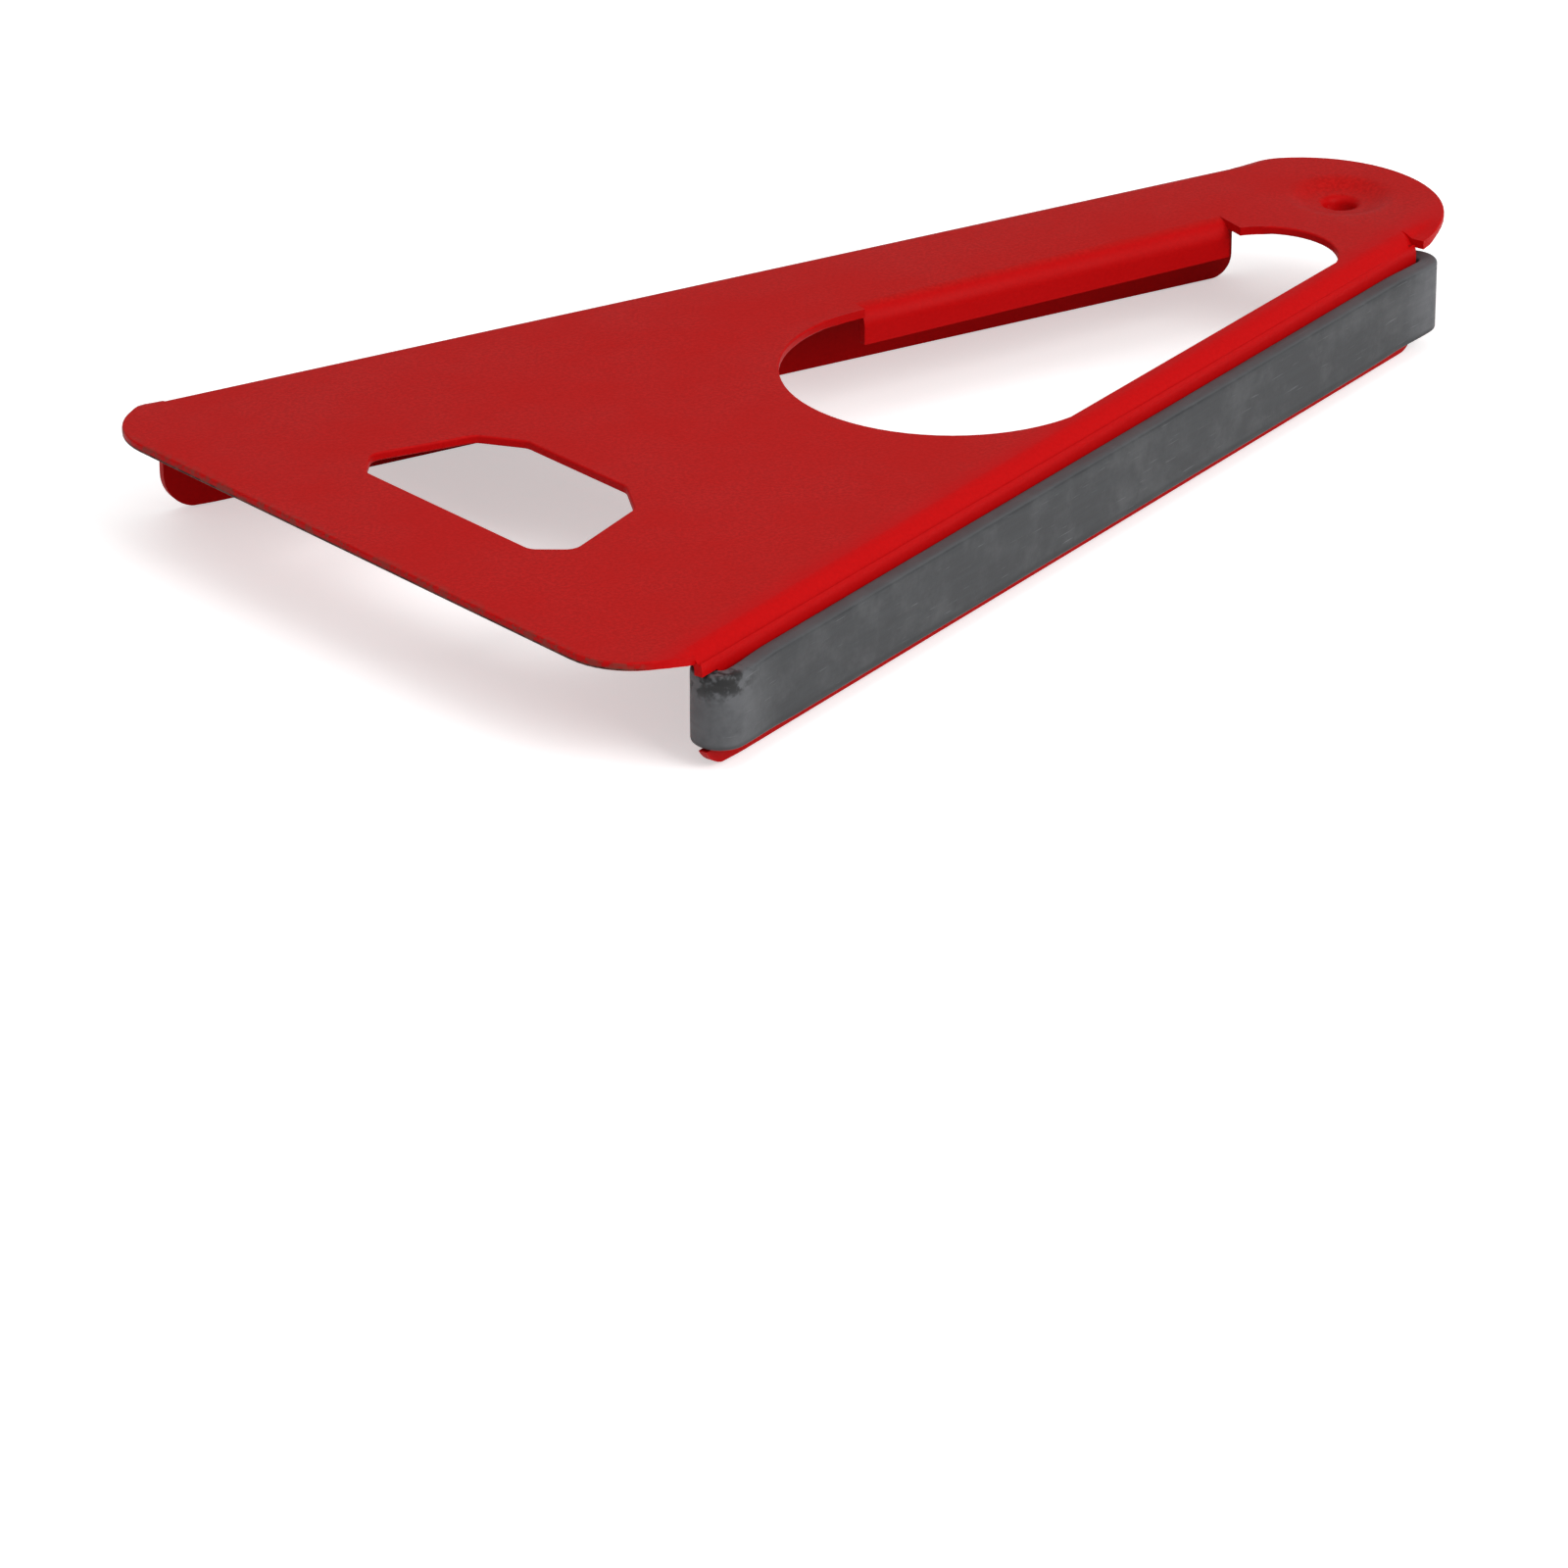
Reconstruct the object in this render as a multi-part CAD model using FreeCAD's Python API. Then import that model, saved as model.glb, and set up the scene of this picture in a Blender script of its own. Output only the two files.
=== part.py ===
"""Screw-lid jar opener: one pressed sheet-steel body with two tapering jaws, and a rubber belt on one jaw.

Working frame: X runs along the plate's centre line from the wide front edge to the round tip, +Y is the
bare jaw's side, -Y the belted jaw's side, +Z is up and the jaws' lower edges stand on Z = 0. The finished
pieces are moved together at the end, so that the origin is at the bottom centre of the bounding box.
"""
import FreeCAD, Part
import math
import os

from FreeCAD import Vector

# Sheet and plate
SHEET = 1.1                    # thickness of the painted sheet steel
PLATE_LENGTH = 175.2           # front edge to the round tip
FRONT_WIDTH = 104.2            # between the jaws' outer faces, carried on to the front edge
TAPER = 12.35                  # angle of each jaw to the centre line, degrees
FRONT_CORNER_RADIUS = 9.5
FRONT_INSET = 0.9              # front corners' sides, inside the jaws' outer faces
TIP_RADIUS = 17.4
TIP_OFFSET = 0.8               # the tip's centre, off the centre line towards the belted jaw

# Jaws, bent down from the plate's long sides
JAW_DEPTH = 15.25              # plate top to the jaws' lower edge
BEND_RADIUS = 2.6              # outer radius of the bends
JAW_FRONT_SETBACK = 11.1       # front edge to the jaws' front ends, along the jaw
JAW_LENGTH = 153.9
JAW_FRONT_CORNER = 5.0         # rounding of the jaws' lower corners
JAW_BACK_CORNER = 3.0

# Rubber belt, stretched round the jaw on the -Y side
BELT_THICKNESS = 2.4
BELT_WIDTH = 9.3
BELT_DROP = 3.3                # plate top to the belt's upper edge
SEAT_DEPTH = 3.0               # how far the jaw's front end is cut back to take the belt
SEAT_CLEARANCE = 0.2           # above and below the belt, in the seat

# Aperture for small caps: a wide and a narrow round end beside the belted jaw
WIDE_END_RADIUS = 20.8
NARROW_END_RADIUS = 9.0
WIDE_END_STATION = 95.2        # centres, measured along the belted jaw from the front edge
NARROW_END_STATION = 148.7
RAIL_LAND = 0.6                # flat land between the aperture and the jaw's bend

# Lip bent down along the aperture's far side, opposite the belt
LIP_ANGLE = 10.3               # to the centre line, degrees
LIP_DEPTH = 4.8                # plate top to the lip's lower edge
LIP_START = 1.0                # from the point where the wide end meets the straight side
LIP_LENGTH = 55.0

# Window for lifting crown caps, near the front edge
WINDOW_FRONT = 15.0            # front edge to the window's front side
WINDOW_LENGTH = 20.0
WINDOW_FRONT_WIDTH = 30.0      # straight part of the front side
WINDOW_WIDTH = 37.0            # at its widest
WINDOW_BACK_WIDTH = 18.0
WINDOW_FRONT_CHAMFER = 3.8     # length of the corner cuts along X
WINDOW_BACK_CHAMFER = 3.5
WINDOW_SHOULDER_WIDTH = 29.0   # where the sides meet the back corner cuts
WINDOW_CORNER_RADIUS = 2.0

# Dished hanging hole in the tip
DISH_RADIUS = 7.5
DISH_DEPTH = 1.0
HOLE_DIAMETER = 4.0
COLLAR_DEPTH = 3.2             # plate top to the lower edge of the hole's collar
COLLAR_WALL = 0.6
DISH_SETBACK = 11.5            # tip to the hole's centre

LAP = 1.0                      # how far one fused region reaches into the next
OVERRUN = 2.0                  # how far a cutting tool passes the face it cuts


def unit(angle):
    """Direction in the plate's plane at an angle in degrees from +X."""
    return Vector(math.cos(math.radians(angle)), math.sin(math.radians(angle)), 0)


class FaceLine:
    """An upright plane in plan: stations run along it, insets run behind its face."""

    def __init__(self, start, along, inward):
        self.start, self.along, self.inward = start, along, inward

    def at(self, station, inset, z=0.0):
        flat = self.start + self.along * station + self.inward * inset
        return Vector(flat.x, flat.y, z)


BELTED = FaceLine(Vector(0, -FRONT_WIDTH / 2, 0), unit(TAPER), unit(TAPER + 90))
BARE = FaceLine(Vector(0, FRONT_WIDTH / 2, 0), unit(-TAPER), unit(-TAPER - 90))

PLATE_TOP = JAW_DEPTH
WIDE_CENTRE = BELTED.at(WIDE_END_STATION, BEND_RADIUS + RAIL_LAND + WIDE_END_RADIUS)
NARROW_CENTRE = BELTED.at(NARROW_END_STATION, BEND_RADIUS + RAIL_LAND + NARROW_END_RADIUS)
LIP = FaceLine(WIDE_CENTRE + unit(90 - LIP_ANGLE) * WIDE_END_RADIUS, unit(-LIP_ANGLE), unit(90 - LIP_ANGLE))

JAW_FRONT = JAW_FRONT_SETBACK
JAW_BACK = JAW_FRONT_SETBACK + JAW_LENGTH
BELT_TOP = PLATE_TOP - BELT_DROP
BELT_BOTTOM = BELT_TOP - BELT_WIDTH


def polyline(points):
    return Part.makePolygon(points + [points[0]])


def prism(wire, base, height):
    """Upright solid over a flat wire."""
    face = Part.Face(wire)
    face.translate(Vector(0, 0, base - face.BoundBox.ZMin))
    return face.extrude(Vector(0, 0, height))


def rounded_polygon(points, radii):
    """Closed wire through the points, each corner rounded by its radius, or left sharp at zero."""
    edges, ends = [], []
    for index, corner in enumerate(points):
        before, after = points[index - 1], points[(index + 1) % len(points)]
        to_before, to_after = (before - corner).normalize(), (after - corner).normalize()
        half = to_before.getAngle(to_after) / 2
        run = radii[index] / math.tan(half)
        start, end = corner + to_before * run, corner + to_after * run
        ends.append((start, end))
        if radii[index]:
            depth = radii[index] / math.sin(half) - radii[index]
            middle = corner + (to_before + to_after).normalize() * depth
            edges.append(Part.Arc(start, middle, end).toShape())
    for index in range(len(points)):
        start, end = ends[index - 1][1], ends[index][0]
        if start.distanceToPoint(end) > 1e-6:
            edges.append(Part.LineSegment(start, end).toShape())
    return Part.Wire(Part.__sortEdges__(edges))


def half_width(x, inset):
    """Half the plate's width at X, between lines that lie inset behind the jaws' outer faces."""
    return FRONT_WIDTH / 2 - x * math.tan(math.radians(TAPER)) - inset / math.cos(math.radians(TAPER))


def tip_centre():
    return Vector(PLATE_LENGTH - TIP_RADIUS, -TIP_OFFSET, 0)


def tip_root(line):
    """Rectangle from the middle of the jaw to the round tip, tangent to the tip."""
    offset = tip_centre() - line.start
    station, reach = offset.dot(line.along), offset.dot(line.inward)
    middle = JAW_FRONT + JAW_LENGTH / 2
    return polyline([line.at(middle, reach - TIP_RADIUS), line.at(station, reach - TIP_RADIUS),
                     line.at(station, reach), line.at(middle, reach)])


def bend_room(line):
    """Everything from the start of a jaw's bend outwards, along the jaw."""
    return polyline([line.at(JAW_FRONT, BEND_RADIUS), line.at(JAW_FRONT, -TIP_RADIUS),
                     line.at(JAW_BACK, -TIP_RADIUS), line.at(JAW_BACK, BEND_RADIUS)])


def flat_plate():
    """The plate between the bends and out to the round tip, before its apertures are cut."""
    base = PLATE_TOP - SHEET
    corners = [Vector(0, half_width(0, FRONT_INSET), 0), Vector(0, -half_width(0, FRONT_INSET), 0),
               BELTED.at(JAW_BACK, FRONT_INSET), BARE.at(JAW_BACK, FRONT_INSET)]
    outline = rounded_polygon(corners, [FRONT_CORNER_RADIUS] * 2 + [0] * 2)
    plate = prism(outline, base, SHEET)
    for wire in (disc(tip_centre(), TIP_RADIUS), tip_root(BELTED), tip_root(BARE)):
        plate = plate.fuse(prism(wire, base, SHEET))
    for line in (BELTED, BARE):
        plate = plate.cut(prism(bend_room(line), base - OVERRUN, SHEET + 2 * OVERRUN))
    return plate


def bent_strip(line, first, last, depth):
    """Sheet that leaves the plate through a bend and hangs down behind the line's face."""
    top, inner_radius = PLATE_TOP, BEND_RADIUS - SHEET
    turn = math.radians(45)

    def spot(inset, z):
        return line.at(first, inset, z)

    def bend_middle(radius):
        return spot(BEND_RADIUS - radius * math.cos(turn), top - BEND_RADIUS + radius * math.sin(turn))

    low, high = top - depth, top - BEND_RADIUS
    lap = BEND_RADIUS + LAP
    edges = [
        Part.LineSegment(spot(0, low), spot(0, high)).toShape(),
        Part.Arc(spot(0, high), bend_middle(BEND_RADIUS), spot(BEND_RADIUS, top)).toShape(),
        Part.LineSegment(spot(BEND_RADIUS, top), spot(lap, top)).toShape(),
        Part.LineSegment(spot(lap, top), spot(lap, top - SHEET)).toShape(),
        Part.LineSegment(spot(lap, top - SHEET), spot(BEND_RADIUS, top - SHEET)).toShape(),
        Part.Arc(spot(BEND_RADIUS, top - SHEET), bend_middle(inner_radius), spot(SHEET, high)).toShape(),
        Part.LineSegment(spot(SHEET, high), spot(SHEET, low)).toShape(),
        Part.LineSegment(spot(SHEET, low), spot(0, low)).toShape(),
    ]
    return Part.Face(Part.Wire(edges)).extrude(line.along * (last - first))


def corner_cutter(line, station, radius, sign):
    """Tool that rounds a jaw's lower corner; sign is +1 at the jaw's front end and -1 at its back end."""
    def spot(station_offset, z):
        return line.at(station + sign * station_offset, -OVERRUN, z)

    middle = radius * (1 - math.sqrt(0.5))
    edges = [
        Part.Arc(spot(0, radius), spot(middle, middle), spot(radius, 0)).toShape(),
        Part.LineSegment(spot(radius, 0), spot(radius, -OVERRUN)).toShape(),
        Part.LineSegment(spot(radius, -OVERRUN), spot(-OVERRUN, -OVERRUN)).toShape(),
        Part.LineSegment(spot(-OVERRUN, -OVERRUN), spot(-OVERRUN, radius)).toShape(),
        Part.LineSegment(spot(-OVERRUN, radius), spot(0, radius)).toShape(),
    ]
    return Part.Face(Part.Wire(edges)).extrude(line.inward * (SHEET + 2 * OVERRUN))


def jaw(line):
    """One jaw with its bend and rounded lower corners."""
    blade = bent_strip(line, JAW_FRONT, JAW_BACK, JAW_DEPTH)
    blade = blade.cut(corner_cutter(line, JAW_FRONT, JAW_FRONT_CORNER, 1))
    return blade.cut(corner_cutter(line, JAW_BACK, JAW_BACK_CORNER, -1))


def belt_seat():
    """Tool that cuts the belted jaw's front end back, so that the belt cannot ride off."""
    low = BELT_BOTTOM - SEAT_CLEARANCE
    height = BELT_WIDTH + 2 * SEAT_CLEARANCE
    corners = [BELTED.at(JAW_FRONT - OVERRUN, -OVERRUN), BELTED.at(JAW_FRONT + SEAT_DEPTH, -OVERRUN),
               BELTED.at(JAW_FRONT + SEAT_DEPTH, SHEET + OVERRUN),
               BELTED.at(JAW_FRONT - OVERRUN, SHEET + OVERRUN)]
    return prism(polyline(corners), low, height)


def disc(centre, radius):
    return Part.Wire(Part.makeCircle(radius, centre))


def cap_aperture():
    """Cutting tool for the aperture, with the strip behind the lip's face that the lip's bend replaces."""
    base, height = PLATE_TOP - SHEET - OVERRUN, SHEET + 2 * OVERRUN
    lip_end = LIP_START + LIP_LENGTH
    reach = (LIP.at(0, 0) - NARROW_CENTRE).dot(LIP.inward)
    waist = [WIDE_CENTRE - BELTED.inward * WIDE_END_RADIUS, NARROW_CENTRE - BELTED.inward * NARROW_END_RADIUS,
             LIP.at(lip_end, -reach), LIP.at(lip_end, 0), LIP.at(0, 0)]
    behind = [LIP.at(LIP_START, -LAP), LIP.at(lip_end, -LAP),
              LIP.at(lip_end, BEND_RADIUS), LIP.at(LIP_START, BEND_RADIUS)]
    tool = prism(disc(WIDE_CENTRE, WIDE_END_RADIUS), base, height)
    for wire in (disc(NARROW_CENTRE, NARROW_END_RADIUS), polyline(waist), polyline(behind)):
        tool = tool.fuse(prism(wire, base, height))
    return tool


def window():
    """Cutting tool for the crown-cap window."""
    back = WINDOW_FRONT + WINDOW_LENGTH
    half = [Vector(WINDOW_FRONT, WINDOW_FRONT_WIDTH / 2, 0),
            Vector(WINDOW_FRONT + WINDOW_FRONT_CHAMFER, WINDOW_WIDTH / 2, 0),
            Vector(back - WINDOW_BACK_CHAMFER, WINDOW_SHOULDER_WIDTH / 2, 0),
            Vector(back, WINDOW_BACK_WIDTH / 2, 0)]
    points = half + [Vector(point.x, -point.y, 0) for point in reversed(half)]
    outline = rounded_polygon(points, [WINDOW_CORNER_RADIUS] * len(points))
    return prism(outline, PLATE_TOP - SHEET - OVERRUN, SHEET + 2 * OVERRUN)


def slope_edges(start, end):
    """Two equal arcs that leave start and reach end both level, in the X-Z plane."""
    run, fall = start.x - end.x, start.z - end.z
    radius = (run * run + fall * fall) / (4 * fall)
    half_turn = math.asin(run / 2 / radius) / 2
    across, down = radius * math.sin(half_turn), radius * (1 - math.cos(half_turn))
    middle = (start + end) * 0.5
    first = Part.Arc(start, start + Vector(-across, 0, -down), middle)
    second = Part.Arc(middle, end + Vector(across, 0, down), end)
    return [first.toShape(), second.toShape()]


def dish_centre():
    return Vector(PLATE_LENGTH - DISH_SETBACK, -TIP_OFFSET, 0)


def dish():
    """Dished sheet round the hanging hole, rolled down into a short collar."""
    top, hole = PLATE_TOP, HOLE_DIAMETER / 2
    foot = hole + SHEET
    floor = top - DISH_DEPTH
    low, outside = top - COLLAR_DEPTH, hole + COLLAR_WALL
    rim, bottom = Vector(DISH_RADIUS, 0, top), Vector(foot, 0, floor)
    under = Vector(0, 0, -SHEET)
    roll = SHEET * (1 - math.sqrt(0.5))
    throat = Vector(hole, 0, floor - SHEET)
    collar = [throat, Vector(hole, 0, low), Vector(outside, 0, low),
              Vector(outside, 0, floor - SHEET), bottom + under]
    edges = slope_edges(rim, bottom)
    edges.append(Part.Arc(bottom, Vector(hole + roll, 0, floor - roll), throat).toShape())
    edges += [Part.LineSegment(a, b).toShape() for a, b in zip(collar, collar[1:])]
    edges += slope_edges(rim + under, bottom + under)
    edges.append(Part.LineSegment(rim + under, rim).toShape())
    wire = Part.Wire(Part.__sortEdges__(edges))
    turned = Part.Face(wire).revolve(Vector(0, 0, 0), Vector(0, 0, 1), 360)
    turned.translate(dish_centre())
    return turned


def dish_clearing():
    """Cutting tool that makes room for the dished sheet."""
    return prism(disc(dish_centre(), DISH_RADIUS), PLATE_TOP - SHEET - OVERRUN, SHEET + 2 * OVERRUN)


def pressed_steel_body():
    """The whole sheet-steel pressing."""
    plate = flat_plate().cut(cap_aperture()).cut(window()).cut(dish_clearing())
    belted_jaw = jaw(BELTED).cut(belt_seat())
    lip = bent_strip(LIP, LIP_START, LIP_START + LIP_LENGTH, LIP_DEPTH)
    body = plate.multiFuse([belted_jaw, jaw(BARE), lip, dish()])
    return body.removeSplitter()


def belt_loop(margin):
    """Upright solid round the belted jaw's seat, its outline a margin outside the jaw's faces."""
    radius, middle = SHEET / 2 + margin, SHEET / 2
    first, last = JAW_FRONT + SEAT_DEPTH, JAW_BACK
    outer = [BELTED.at(first, middle - radius), BELTED.at(last, middle - radius)]
    inner = [BELTED.at(last, middle + radius), BELTED.at(first, middle + radius)]
    back, front = BELTED.at(last + radius, middle), BELTED.at(first - radius, middle)
    wire = Part.Wire([
        Part.LineSegment(outer[0], outer[1]).toShape(),
        Part.Arc(outer[1], back, inner[0]).toShape(),
        Part.LineSegment(inner[0], inner[1]).toShape(),
        Part.Arc(inner[1], front, outer[0]).toShape(),
    ])
    return prism(wire, BELT_BOTTOM, BELT_WIDTH)


def rubber_belt():
    """Endless flat belt that grips both faces of the belted jaw."""
    return belt_loop(BELT_THICKNESS).cut(belt_loop(0))


def main():
    parts = {"pressed_steel_body": pressed_steel_body(), "rubber_belt": rubber_belt()}
    box = Part.makeCompound(list(parts.values())).optimalBoundingBox(False, False)
    home = Vector(-box.Center.x, -box.Center.y, -box.ZMin)
    os.makedirs("parts", exist_ok=True)
    for name, shape in parts.items():
        shape.translate(home)
        solids = len(shape.Solids)
        print(name, "solids", solids, "valid", shape.isValid(), "volume %.1f" % shape.Volume)
        shape.exportStep("parts/%s.step" % name)
    print("size %.2f x %.2f x %.2f" % (box.XLength, box.YLength, box.ZLength))
    print("moved by %.3f, %.3f, %.3f" % (home.x, home.y, home.z))


main()
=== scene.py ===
import math

import bpy
import bmesh
from mathutils import Matrix, Vector, noise


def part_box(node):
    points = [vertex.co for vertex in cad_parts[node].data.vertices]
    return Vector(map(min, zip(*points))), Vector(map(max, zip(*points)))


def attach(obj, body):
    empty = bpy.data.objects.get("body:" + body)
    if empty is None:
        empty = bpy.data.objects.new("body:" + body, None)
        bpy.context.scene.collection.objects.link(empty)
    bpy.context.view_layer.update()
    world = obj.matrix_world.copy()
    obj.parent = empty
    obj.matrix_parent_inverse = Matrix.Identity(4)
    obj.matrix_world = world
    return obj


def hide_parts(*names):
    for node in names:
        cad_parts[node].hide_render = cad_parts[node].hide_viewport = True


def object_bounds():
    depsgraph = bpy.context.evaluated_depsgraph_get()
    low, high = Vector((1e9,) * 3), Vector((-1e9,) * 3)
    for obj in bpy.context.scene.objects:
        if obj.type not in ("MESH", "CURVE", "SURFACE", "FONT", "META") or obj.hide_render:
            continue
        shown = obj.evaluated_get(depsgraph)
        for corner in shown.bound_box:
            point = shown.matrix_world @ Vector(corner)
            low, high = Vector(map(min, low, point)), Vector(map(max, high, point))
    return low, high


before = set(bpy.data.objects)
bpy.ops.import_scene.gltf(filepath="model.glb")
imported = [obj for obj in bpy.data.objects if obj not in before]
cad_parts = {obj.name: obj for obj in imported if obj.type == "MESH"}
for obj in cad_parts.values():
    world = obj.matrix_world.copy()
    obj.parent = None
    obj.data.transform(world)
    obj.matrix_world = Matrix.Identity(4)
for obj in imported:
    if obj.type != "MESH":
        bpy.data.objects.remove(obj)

# A wedge-shaped screw-lid opener: one red painted steel pressing, and one flat rubber belt
# stretched round its right-hand jaw. Lengths in the making are in millimetres.
MM = 0.001
CAD_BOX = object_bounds()


# The jaws, in millimetres. A jaw's line runs along its outer face, from the front edge.
SHEET = 1.1
BEND = 2.6                        # outer radius of the bend between plate and jaw
JAW_FRONT, JAW_BACK = 11.1, 165.0     # where a jaw and its bend start and end, along its line
JAW_LINES = (((-87.6, -51.214), (0.97686, 0.21388), (-0.21388, 0.97686)),   # the belted jaw
             ((-87.6, 52.986), (0.97686, -0.21388), (-0.21388, -0.97686)))  # the bare jaw
LIP_LINE = ((3.983, 13.057), (0.98389, -0.17880), (0.17880, 0.98389))
LIP_ENDS = (1.0, 56.0)


# ---------------------------------------------------------------- colours and nodes

def srgb(code):
    """An sRGB hex colour as the linear colour that a shader takes."""
    def linear(c):
        return c / 12.92 if c <= 0.04045 else ((c + 0.055) / 1.055) ** 2.4
    return tuple(linear(int(code[i:i + 2], 16) / 255) for i in (1, 3, 5)) + (1.0,)


def node(tree, kind, settings=None, **links):
    """Adds one node. Settings name its properties; links name its inputs, by name or as i0, i1."""
    made = tree.nodes.new(kind)
    for key, value in (settings or {}).items():
        setattr(made, key, value)
    for key, value in links.items():
        if key[0] == "i" and key[1:].isdigit():
            socket = made.inputs[int(key[1:])]
        else:
            socket = made.inputs[key.replace("_", " ")]
        if isinstance(value, bpy.types.NodeSocket):
            tree.links.new(value, socket)
        else:
            socket.default_value = value
    return made


def ramp(tree, value, low, high, to_low=0.0, to_high=1.0):
    """Value from low to high becomes to_low to to_high, smoothly and no further."""
    made = node(tree, "ShaderNodeMapRange", {"interpolation_type": "SMOOTHSTEP"},
                Value=value, From_Min=low, From_Max=high, To_Min=to_low, To_Max=to_high)
    return made.outputs["Result"]


def times(tree, a, b):
    return node(tree, "ShaderNodeMath", {"operation": "MULTIPLY"}, i0=a, i1=b).outputs[0]


def blend_colour(tree, factor, a, b):
    made = node(tree, "ShaderNodeMix", {"data_type": "RGBA"}, i0=factor, i6=a, i7=b)
    return made.outputs[2]


def grain(tree, where, size_mm, detail=2.0, roughness=0.5):
    """Noise whose cells are about size_mm across, on coordinates in metres."""
    made = node(tree, "ShaderNodeTexNoise", Vector=where, Scale=1.0 / (size_mm * MM),
                Detail=detail, Roughness=roughness)
    return made.outputs["Fac"]


def new_material(name):
    made = bpy.data.materials.new(name)
    made.use_nodes = True
    tree = made.node_tree
    tree.nodes.clear()
    shader = node(tree, "ShaderNodeBsdfPrincipled")
    node(tree, "ShaderNodeOutputMaterial", Surface=shader.outputs[0])
    return made, tree, shader


def connect(tree, value, shader, socket):
    tree.links.new(value, shader.inputs[socket])


# ---------------------------------------------------------------- the two finishes

def red_stoving_enamel():
    """Stoved enamel on pressed steel: satin, with an orange peel about 1 mm across, and bare
    brown steel showing where the front edge has rubbed."""
    made, tree, shader = new_material("red_stoving_enamel_on_steel")
    place = node(tree, "ShaderNodeTexCoord").outputs["Object"]
    split = node(tree, "ShaderNodeSeparateXYZ", Vector=place)
    facing = node(tree, "ShaderNodeNewGeometry").outputs["Normal"]
    facing = node(tree, "ShaderNodeSeparateXYZ", Vector=facing)

    speck = grain(tree, place, 0.45, 3.0, 0.7)
    patch = grain(tree, place, 14.0, 3.0, 0.6)
    flat = blend_colour(tree, ramp(tree, speck, 0.35, 0.68), srgb("#A10C0A"), srgb("#B81412"))
    flat = blend_colour(tree, ramp(tree, patch, 0.3, 0.75, 0.0, 0.55), flat, srgb("#B0100E"))
    # Painted light: the bends and walls, which face the light, take a brighter, more saturated red
    # than the flat top.
    side = blend_colour(tree, ramp(tree, speck, 0.3, 0.7), srgb("#B00406"), srgb("#B80608"))
    level = ramp(tree, facing.outputs["Z"], 0.8, 0.99)
    # Painted highlight: the belted jaw's bend, up to about 5.6 mm in from its face, takes the same
    # brighter red.
    start, along, inward = JAW_LINES[0]
    from_jaw = node(tree, "ShaderNodeVectorMath", {"operation": "SUBTRACT"}, i0=place,
                    i1=(start[0] * MM, start[1] * MM, 0)).outputs[0]
    inset = node(tree, "ShaderNodeVectorMath", {"operation": "DOT_PRODUCT"}, i0=from_jaw,
                 i1=inward + (0.0,)).outputs["Value"]
    level = times(tree, level, ramp(tree, inset, 2.4 * MM, 5.6 * MM))
    colour = blend_colour(tree, level, side, flat)

    # Rubbed front edge: the cut face, and patches just above it.
    front = CAD_BOX[0].x
    cut = ramp(tree, facing.outputs["X"], -0.35, -0.75)
    rub = ramp(tree, grain(tree, place, 1.6, 4.0, 0.7), 0.44, 0.58)
    plate_top = CAD_BOX[1].z
    burr = ramp(tree, split.outputs["Z"], plate_top - 0.55 * MM, plate_top - 0.85 * MM)
    burr = node(tree, "ShaderNodeMath", {"operation": "MAXIMUM"}, i0=burr,
                i1=times(tree, rub, 0.6)).outputs[0]
    at_front = times(tree, ramp(tree, split.outputs["X"], front + 6 * MM, front + 4 * MM),
                     ramp(tree, split.outputs["Z"], plate_top - 1.4 * MM, plate_top - 1.2 * MM))
    worn = times(tree, times(tree, cut, burr), at_front)
    top_rub = times(tree, ramp(tree, split.outputs["X"], front + 1.4 * MM, front + 0.1 * MM), rub)
    worn = node(tree, "ShaderNodeMath", {"operation": "MAXIMUM"}, i0=worn,
                i1=times(tree, top_rub, 0.3)).outputs[0]
    steel = blend_colour(tree, rub, srgb("#33211D"), srgb("#5E3A32"))
    colour = blend_colour(tree, worn, colour, steel)
    connect(tree, colour, shader, "Base Color")

    connect(tree, ramp(tree, patch, 0.25, 0.75, 0.44, 0.54), shader, "Roughness")
    shader.inputs["Specular IOR Level"].default_value = 0.06
    peel = grain(tree, place, 0.9, 2.0, 0.5)
    height = node(tree, "ShaderNodeMath", {"operation": "ADD"}, i0=peel,
                  i1=times(tree, speck, 0.35)).outputs[0]
    bump = node(tree, "ShaderNodeBump", Height=height, Strength=0.25, Distance=0.06 * MM)
    connect(tree, bump.outputs[0], shader, "Normal")
    return made


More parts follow.
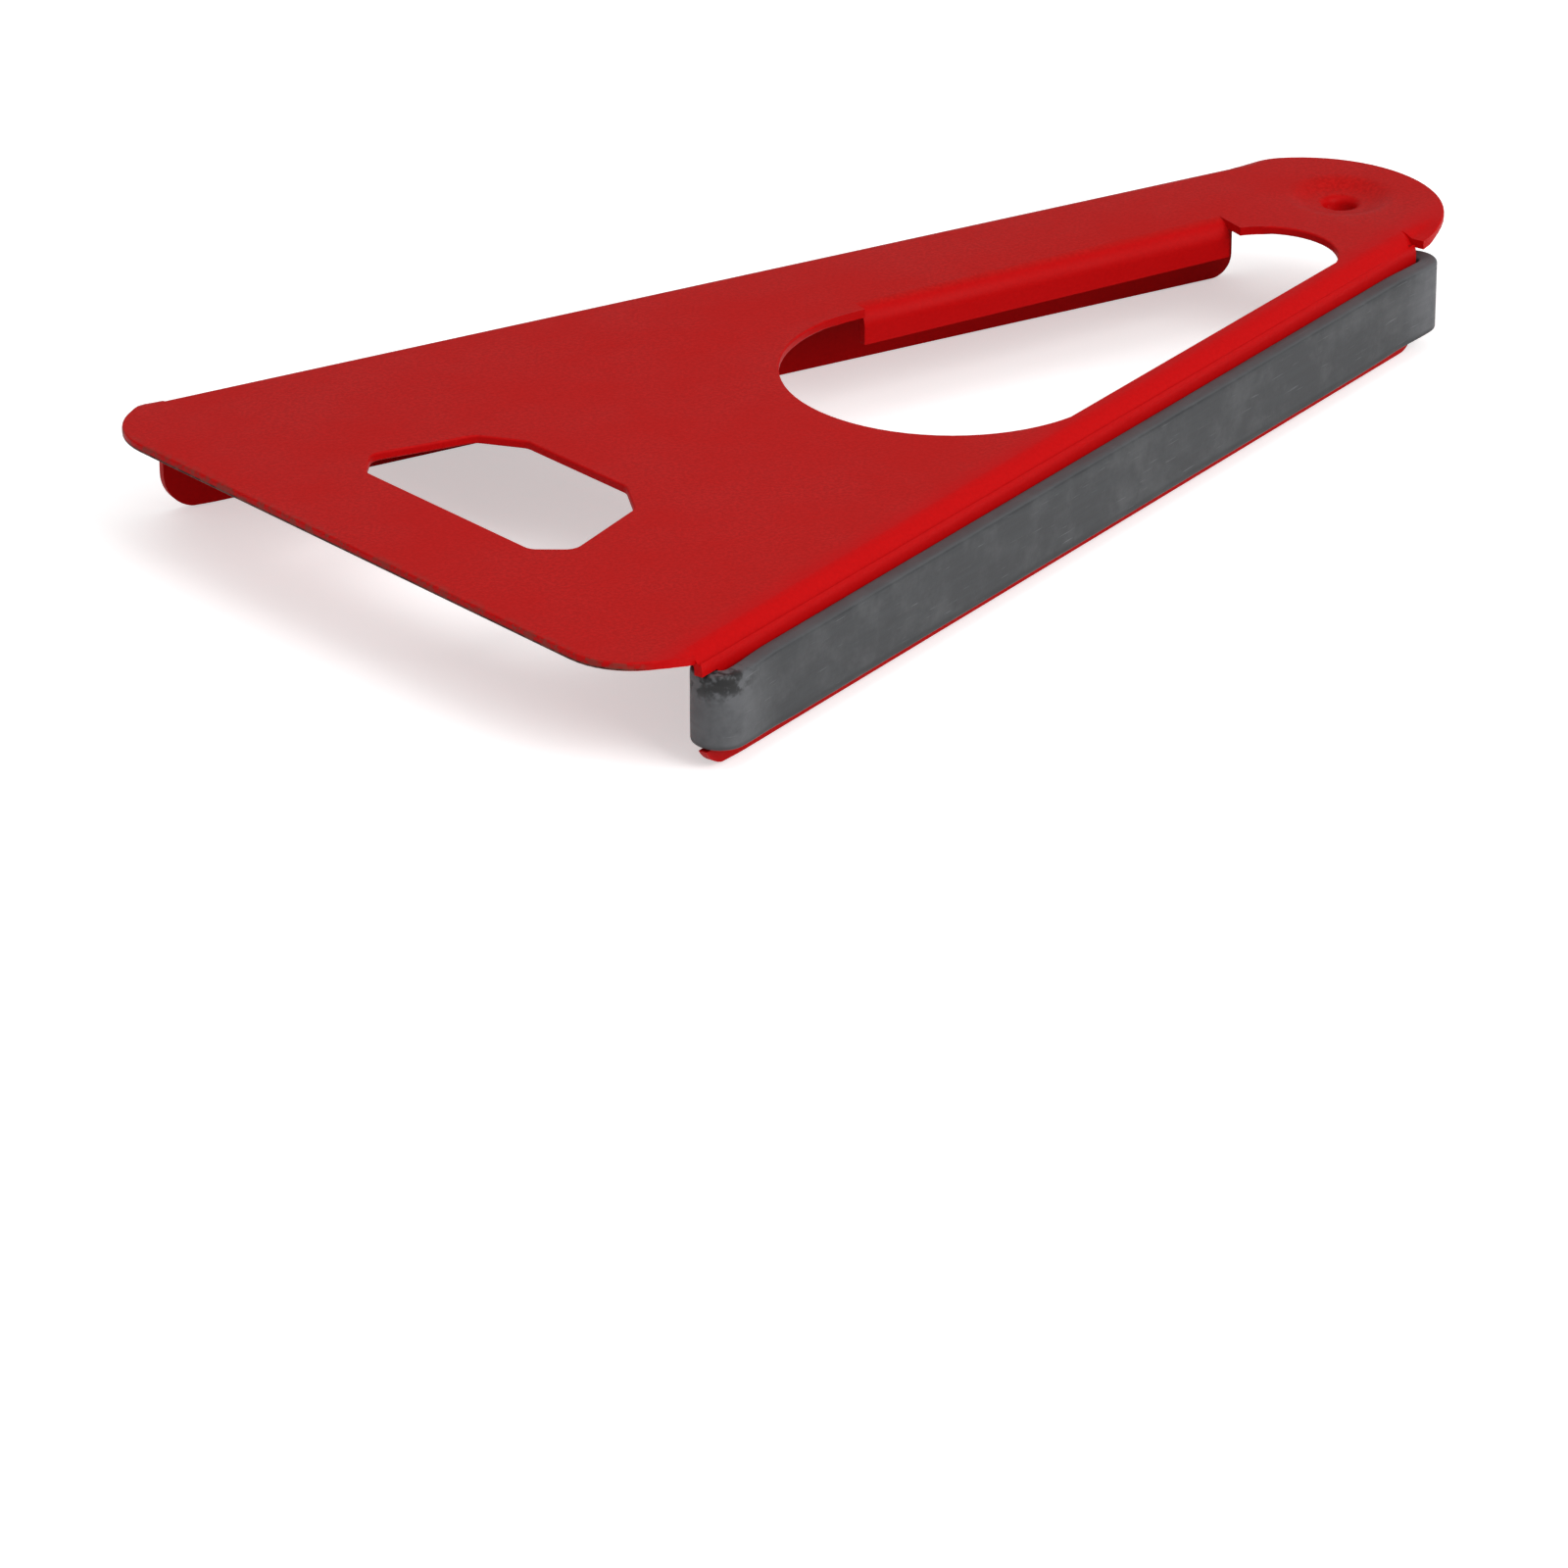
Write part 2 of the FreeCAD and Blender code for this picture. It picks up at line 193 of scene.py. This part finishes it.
def black_rubber():
    """Extruded natural rubber belt: matt grey-black, with a paler, chalky grey painted on the two
    hairpins round the jaw's ends as their highlight, and scuffs along its length."""
    made, tree, shader = new_material("aged_black_rubber")
    along = node(tree, "ShaderNodeUVMap", {"uv_map": "round_the_belt"}).outputs["UV"]
    place = node(tree, "ShaderNodeTexCoord").outputs["Object"]
    split = node(tree, "ShaderNodeSeparateXYZ", Vector=place)
    facing = node(tree, "ShaderNodeNewGeometry").outputs["Normal"]
    facing = node(tree, "ShaderNodeSeparateXYZ", Vector=facing)
    low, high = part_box("rubber_belt")

    drawn = node(tree, "ShaderNodeMapping", Vector=along, Scale=(0.09, 1.0, 1.0)).outputs[0]
    streak = grain(tree, drawn, 0.9, 4.0, 0.65)
    mottle = grain(tree, place, 6.0, 4.0, 0.65)
    speck = grain(tree, place, 0.35, 2.0, 0.6)
    colour = blend_colour(tree, ramp(tree, streak, 0.35, 0.7), srgb("#26272A"), srgb("#383A3C"))
    colour = blend_colour(tree, ramp(tree, mottle, 0.42, 0.75, 0.0, 0.7), colour, srgb("#47484A"))
    # Painted highlight: paler grey on the two hairpins, where the curved ends catch the light.
    front = ramp(tree, split.outputs["X"], low.x + 13 * MM, low.x + 2 * MM)
    back = ramp(tree, split.outputs["X"], high.x - 11 * MM, high.x - 3 * MM)
    hairpin_highlight = node(tree, "ShaderNodeMath", {"operation": "MAXIMUM"}, i0=front, i1=back).outputs[0]
    hairpin_highlight = times(tree, hairpin_highlight, ramp(tree, mottle, 0.25, 0.6, 0.35, 0.9))
    colour = blend_colour(tree, hairpin_highlight, colour, srgb("#5A5B5E"))
    # Fine scratches along the length.
    thin = node(tree, "ShaderNodeMapping", Vector=along, Rotation=(0, 0, 0.03),
                Scale=(0.05, 1.0, 1.0)).outputs[0]
    scratch = ramp(tree, grain(tree, thin, 0.28, 2.0, 0.5), 0.66, 0.74)
    colour = blend_colour(tree, times(tree, scratch, 0.22), colour, srgb("#8E8F92"))
    # The two long edges: darker along the lower one, and a paler band on the up-facing top, part
    # scuffs and part painted light from above.
    foot = ramp(tree, split.outputs["Z"], low.z + 0.9 * MM, low.z + 0.25 * MM)
    colour = blend_colour(tree, times(tree, foot, 0.75), colour, srgb("#1E1E20"))
    # Painted light, with some real scuffing: faces turned up get the paler grey.
    crown = times(tree, ramp(tree, facing.outputs["Z"], 0.5, 0.9), 0.5)
    colour = blend_colour(tree, crown, colour, srgb("#58595B"))
    # Painted shade: dark patches in the crinkles where it is pinched under the bend at the front,
    # standing in for the shadows of creases that are only shallow in the mesh.
    pinch = times(tree, ramp(tree, split.outputs["X"], low.x + 9 * MM, low.x + 3 * MM),
                  ramp(tree, split.outputs["Z"], high.z - 4.2 * MM, high.z - 1.2 * MM))
    crinkle_shade = ramp(tree, grain(tree, place, 2.4, 3.0, 0.6), 0.44, 0.56)
    colour = blend_colour(tree, times(tree, pinch, crinkle_shade), colour, srgb("#121213"))
    connect(tree, colour, shader, "Base Color")

    connect(tree, ramp(tree, streak, 0.3, 0.75, 0.5, 0.68), shader, "Roughness")
    shader.inputs["Specular IOR Level"].default_value = 0.4
    height = node(tree, "ShaderNodeMath", {"operation": "ADD"}, i0=streak,
                  i1=times(tree, speck, 0.5)).outputs[0]
    bump = node(tree, "ShaderNodeBump", Height=height, Strength=0.35, Distance=0.08 * MM)
    connect(tree, bump.outputs[0], shader, "Normal")
    return made


# ---------------------------------------------------------------- the painted pressing

NOTCH_REACH = 4.0         # edges this near to a notch keep their sheared corner
EDGE_ROUND = 0.25         # enamel gathers to this radius on a sheared edge
SHEARED_EDGE = math.radians(55)   # an edge sharper than this was cut, not bent
SMOOTH_EDGE = math.radians(12)    # faces meeting at less than this shade as one surface
FRONT_RUN_OUT, BACK_RUN_OUT = 7.0, 7.0    # how far the droop goes on past a bend's ends
RUN_OUT_STEPS = 6
WIDEST_DROOP = 1.75               # how much of the bend's width the droop takes up
DROOP_LINES = (0.6, 1.0, 1.4, 1.8, 2.2, 2.6)    # distances in from the jaw's face


def mark_soft_edges(mesh):
    """Marks the sheared edges that the enamel rounds, but not those at the tight notches where
    a bend ends and several edges meet."""
    notches = [bend_point(line, end, 1.6) for line in JAW_LINES for end in (JAW_FRONT, JAW_BACK)]
    notches += [bend_point(LIP_LINE, end, -0.6) for end in LIP_ENDS]
    shape = bmesh.new()
    shape.from_mesh(mesh)
    weight = shape.edges.layers.float.new("bevel_weight_edge")
    for edge in shape.edges:
        sharp = len(edge.link_faces) == 2 and edge.calc_face_angle(0) > SHEARED_EDGE
        ends = [vert.co.xy / MM for vert in edge.verts]
        clear = all((end - notch).length > NOTCH_REACH for end in ends for notch in notches)
        edge[weight] = 1.0 if sharp and clear else 0.0
    shape.to_mesh(mesh)
    shape.free()


def bend_point(line, station, inset):
    """A point in plan, a station along a jaw's or the lip's line and a distance in from its face."""
    start, along, inward = [Vector(v) for v in line]
    return start + along * station + inward * inset


def finish_mesh(obj):
    """Turns an object's modifiers into plain mesh."""
    graph = bpy.context.evaluated_depsgraph_get()
    baked = bpy.data.meshes.new_from_object(obj.evaluated_get(graph))
    obj.modifiers.clear()
    obj.data = baked
    return obj


def bend_drop(inset):
    """How far the bend's outside lies below the plate's top, at a distance in from the jaw's face."""
    reach = min(max(BEND - inset, 0.0), WIDEST_DROOP)
    return BEND - math.sqrt(BEND ** 2 - reach ** 2)


def run_out_bends(mesh):
    """Past each end of a jaw the flat sheet still droops a little, where the press drew it."""
    shape = bmesh.new()
    shape.from_mesh(mesh)
    ends = ((JAW_FRONT, -1, FRONT_RUN_OUT), (JAW_BACK, 1, BACK_RUN_OUT))
    for start, along, inward in JAW_LINES:
        start, along, inward = [Vector(v + (0.0,)) for v in (start, along, inward)]
        cuts = [(start + along * (end + way * reach * k / RUN_OUT_STEPS), along)
                for end, way, reach in ends for k in range(RUN_OUT_STEPS + 1)]
        cuts += [(start + inward * inset, inward) for inset in DROOP_LINES]
        for place, facing in cuts:
            # The bend's own long strips stay whole.
            faces = [face for face in shape.faces
                     if max((vert.co / MM - start).dot(inward) for vert in face.verts) > 4.0
                     or max(edge.calc_length() for edge in face.edges) < 20 * MM]
            around = list({part for face in faces for part in (*face.verts, *face.edges)})
            bmesh.ops.bisect_plane(shape, geom=around + faces, dist=1e-6,
                                   plane_co=place * MM, plane_no=facing)
    bmesh.ops.dissolve_degenerate(shape, dist=5e-6, edges=shape.edges)
    plate_low = CAD_BOX[1].z - (SHEET + 0.15) * MM
    for vert in shape.verts:
        if vert.co.z < plate_low:
            continue
        for start, along, inward in JAW_LINES:
            across = Vector((vert.co.x / MM - start[0], vert.co.y / MM - start[1]))
            station, inset = across.dot(Vector(along)), across.dot(Vector(inward))
            for end, way, reach in ends:
                past = (station - end) * way
                if -0.02 <= past < reach and inset < BEND:
                    vert.co.z -= bend_drop(inset) * ease(1 - past / reach) * MM
    shape.normal_update()
    for edge in shape.edges:
        edge.smooth = len(edge.link_faces) == 2 and edge.calc_face_angle(0) < SMOOTH_EDGE
    shape.to_mesh(mesh)
    shape.free()
    if "custom_normal" in mesh.attributes:
        mesh.attributes.remove(mesh.attributes["custom_normal"])


def painted_pressing(material):
    """The CAD body with the soft edges that enamel gives to sheared steel."""
    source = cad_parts["pressed_steel_body"]
    shape = bmesh.new()
    shape.from_mesh(source.data)
    bmesh.ops.remove_doubles(shape, verts=shape.verts, dist=1e-6)
    bmesh.ops.dissolve_limit(shape, angle_limit=math.radians(0.6), verts=shape.verts,
                             edges=shape.edges, delimit={"NORMAL"})
    mesh = bpy.data.meshes.new("painted_pressing")
    shape.to_mesh(mesh)
    shape.free()
    mesh.materials.clear()
    mesh.materials.append(material)
    piece = bpy.data.objects.new("painted_pressing", mesh)
    bpy.context.scene.collection.objects.link(piece)
    for face in mesh.polygons:
        face.use_smooth = True
        face.material_index = 0
    mark_soft_edges(mesh)
    soft = piece.modifiers.new("soft_edges", "BEVEL")
    soft.width = EDGE_ROUND * MM
    soft.segments = 3
    soft.limit_method = "WEIGHT"
    soft.use_clamp_overlap = False
    finish_mesh(piece)
    run_out_bends(piece.data)
    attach(piece, "root")
    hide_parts("pressed_steel_body")
    return piece


# ---------------------------------------------------------------- the rubber belt

BELT_THICKNESS = 2.4
BELT_LOW, BELT_HIGH = 2.65, 11.95
FRONT_TURN, BACK_TURN = 15.2, 164.6   # centres of the belt's two hairpins
TURN_RADIUS = 2.2                 # of the belt's middle at a hairpin, where it stands off the jaw
BELT_CLEARANCE = 0.03             # between the belt and the jaw
SIDE_OFFSET = SHEET / 2 + BELT_CLEARANCE + BELT_THICKNESS / 2
TURN_LEAD = 8.0                   # length over which it comes back to the jaw
BELT_CORNER = 0.4


def ease(t):
    t = min(max(t, 0.0), 1.0)
    return t * t * (3 - 2 * t)


def belt_line():
    """The belt's middle line: (station, distance from the jaw's middle) round the loop."""
    def off(s):
        lead = max(1 - (s - FRONT_TURN) / TURN_LEAD, 1 - (BACK_TURN - s) / TURN_LEAD)
        return SIDE_OFFSET + (TURN_RADIUS - SIDE_OFFSET) * ease(lead)
    steps, turn = 150, 20    # points along a straight side, and round a hairpin
    line = []
    for i in range(steps):
        s = FRONT_TURN + (BACK_TURN - FRONT_TURN) * i / steps
        line.append((s, -off(s)))
    for i in range(turn):
        a = -math.pi / 2 + math.pi * i / turn
        line.append((BACK_TURN + TURN_RADIUS * math.cos(a), TURN_RADIUS * math.sin(a)))
    for i in range(steps):
        s = BACK_TURN - (BACK_TURN - FRONT_TURN) * i / steps
        line.append((s, off(s)))
    for i in range(turn):
        a = math.pi / 2 + math.pi * i / turn
        line.append((FRONT_TURN + TURN_RADIUS * math.cos(a), TURN_RADIUS * math.sin(a)))
    return line


def belt_section():
    """Rounded section: (outwards from the middle, height), going round once."""
    half, low, high = BELT_THICKNESS / 2, BELT_LOW, BELT_HIGH
    r = BELT_CORNER
    points = []
    corners = [(half - r, low + r, -90), (half - r, high - r, 0),
               (-half + r, high - r, 90), (-half + r, low + r, 180)]
    for k, (n, z, start) in enumerate(corners):
        for j in range(4):
            a = math.radians(start + 90 * j / 3)
            points.append((n + r * math.cos(a), z + r * math.sin(a)))
        n2, z2, start2 = corners[(k + 1) % 4]
        a, b = points[-1], (n2 + r * math.cos(math.radians(start2)),
                            z2 + r * math.sin(math.radians(start2)))
        parts = 16 if k in (0, 2) else 3
        for j in range(1, parts):
            points.append((a[0] + (b[0] - a[0]) * j / parts, a[1] + (b[1] - a[1]) * j / parts))
    return points


def belt_swell(s, side, n, z):
    """How far the rubber stands proud of a perfect extrusion, in millimetres."""
    outer = n > 0
    swell = 0.05 * noise.noise(Vector((s * 0.08, z * 0.15, side * 3.0)))
    near = ease(1 - (s - 11.0) / 9.0)
    top = ease((z - 9.2) / 2.2)
    if outer:
        swell += 0.16 * near * top * noise.noise(Vector((s * 1.1, z * 0.7, side * 2.0 + 7.0)))
    return swell


def belt_rise(s, z):
    """The belt hangs a little low between the jaw's ends."""
    up = (BELT_HIGH - z) / (BELT_HIGH - BELT_LOW)
    front = ease(1 - (s - 11.5) / 16.0)
    return up * (0.1 * front - 0.4 * (1 - front) * ease((168 - s) / 20.0))



def rubber_belt(material):
    start, along, inward = JAW_LINES[0]
    line = belt_line()
    section = belt_section()
    count, ring_count = len(line), len(section)
    shape = bmesh.new()
    rings = []
    travelled = [0.0]
    for i in range(count):
        a, b = line[i], line[(i + 1) % count]
        travelled.append(travelled[-1] + math.hypot(b[0] - a[0], b[1] - a[1]))
    for i, (s, d) in enumerate(line):
        before, after = line[i - 1], line[(i + 1) % count]
        run = Vector((after[0] - before[0], after[1] - before[1])).normalized()
        out = Vector((run.y, -run.x))
        ring = []
        for n, z in section:
            push = n + (belt_swell(s, 1.0 if d > 0 else -1.0, n, z) if n > 0 else 0.0)
            station, inset = s + out.x * push, d + out.y * push + SHEET / 2
            x = start[0] + along[0] * station + inward[0] * inset
            y = start[1] + along[1] * station + inward[1] * inset
            ring.append(shape.verts.new((x * MM, y * MM, (z + belt_rise(s, z)) * MM)))
        rings.append(ring)
    layer = shape.loops.layers.uv.new("round_the_belt")
    girth = [0.0]
    for k in range(ring_count):
        a, b = section[k], section[(k + 1) % ring_count]
        girth.append(girth[-1] + math.hypot(b[0] - a[0], b[1] - a[1]))
    for i in range(count):
        here, there = rings[i], rings[(i + 1) % count]
        for k in range(ring_count):
            m = (k + 1) % ring_count
            face = shape.faces.new((here[k], there[k], there[m], here[m]))
            face.smooth = True
            for loop, (u, v) in zip(face.loops, ((i, k), (i + 1, k), (i + 1, k + 1), (i, k + 1))):
                loop[layer].uv = (travelled[u] * MM, girth[v] * MM)
    bmesh.ops.recalc_face_normals(shape, faces=shape.faces)
    mesh = bpy.data.meshes.new("rubber_belt_loop")
    shape.to_mesh(mesh)
    shape.free()
    mesh.materials.append(material)
    piece = bpy.data.objects.new("rubber_belt_loop", mesh)
    bpy.context.scene.collection.objects.link(piece)
    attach(piece, "root")
    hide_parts("rubber_belt")
    return piece


# ---------------------------------------------------------------- floor, light and camera

def white_floor():
    bpy.ops.mesh.primitive_circle_add(vertices=96, radius=6.0, fill_type="NGON",
                                      location=(0, 0, -0.0002))
    floor = bpy.context.object
    floor.name = "studio_floor"
    made, tree, shader = new_material("white_studio_card")
    shader.inputs["Base Color"].default_value = srgb("#E9E9E9")
    shader.inputs["Roughness"].default_value = 0.9
    shader.inputs["Specular IOR Level"].default_value = 0.0
    seen = node(tree, "ShaderNodeLightPath")
    straight = node(tree, "ShaderNodeMath", {"operation": "MAXIMUM"},
                    i0=seen.outputs["Is Camera Ray"], i1=seen.outputs["Is Glossy Ray"]).outputs[0]
    straight = node(tree, "ShaderNodeMath", {"operation": "MAXIMUM"}, i0=straight,
                    i1=seen.outputs["Is Transmission Ray"]).outputs[0]
    glow = node(tree, "ShaderNodeEmission", Color=(1, 1, 1, 1), Strength=times(tree, straight, 0.5))
    both = node(tree, "ShaderNodeAddShader", i0=shader.outputs[0], i1=glow.outputs[0])
    out = next(n for n in tree.nodes if n.type == "OUTPUT_MATERIAL")
    tree.links.new(both.outputs[0], out.inputs["Surface"])
    floor.data.materials.append(made)


def softbox(name, direction, distance, size, watts):
    lamp = bpy.data.lights.new(name, "AREA")
    lamp.shape = "SQUARE"
    lamp.size = size
    lamp.energy = watts
    holder = bpy.data.objects.new(name, lamp)
    bpy.context.scene.collection.objects.link(holder)
    towards = Vector(direction).normalized()
    holder.location = towards * distance
    holder.rotation_euler = towards.to_track_quat("Z", "Y").to_euler()


def studio_light():
    world = bpy.data.worlds.new("white_surround")
    bpy.context.scene.world = world
    world.use_nodes = True
    tree = world.node_tree
    tree.nodes.clear()
    seen = node(tree, "ShaderNodeLightPath")
    strength = ramp(tree, seen.outputs["Is Camera Ray"], 0.0, 1.0, 0.46, 1.0)
    sky = node(tree, "ShaderNodeBackground", Color=(1, 1, 1, 1), Strength=strength)
    node(tree, "ShaderNodeOutputWorld", Surface=sky.outputs[0])
    softbox("overhead_softbox", (-0.25, -0.1, 1.0), 1.1, 1.0, 3.6)
    softbox("right_front_softbox", (0.12, -0.9, 0.62), 1.2, 0.8, 9.5)


def camera():
    """Three-quarter view from the front left of the wide end, 26 degrees above it."""
    lens = bpy.data.cameras.new("camera")
    lens.sensor_width = 36.0
    lens.lens = 181.7
    lens.clip_start, lens.clip_end = 0.05, 20.0
    holder = bpy.data.objects.new("camera", lens)
    bpy.context.scene.collection.objects.link(holder)
    right = Vector((0.7420, -0.6704, 0.0))
    up = Vector((0.2939, 0.3253, 0.8988))
    back = Vector((-0.6026, -0.6669, 0.4384))
    turn = Matrix((right, up, back)).transposed().to_4x4()
    holder.matrix_world = Matrix.Translation((-0.6112, -0.6541, 0.39265)) @ turn
    bpy.context.scene.camera = holder


camera()
painted_pressing(red_stoving_enamel())
rubber_belt(black_rubber())
white_floor()
studio_light()
bpy.context.scene.view_settings.view_transform = "Standard"
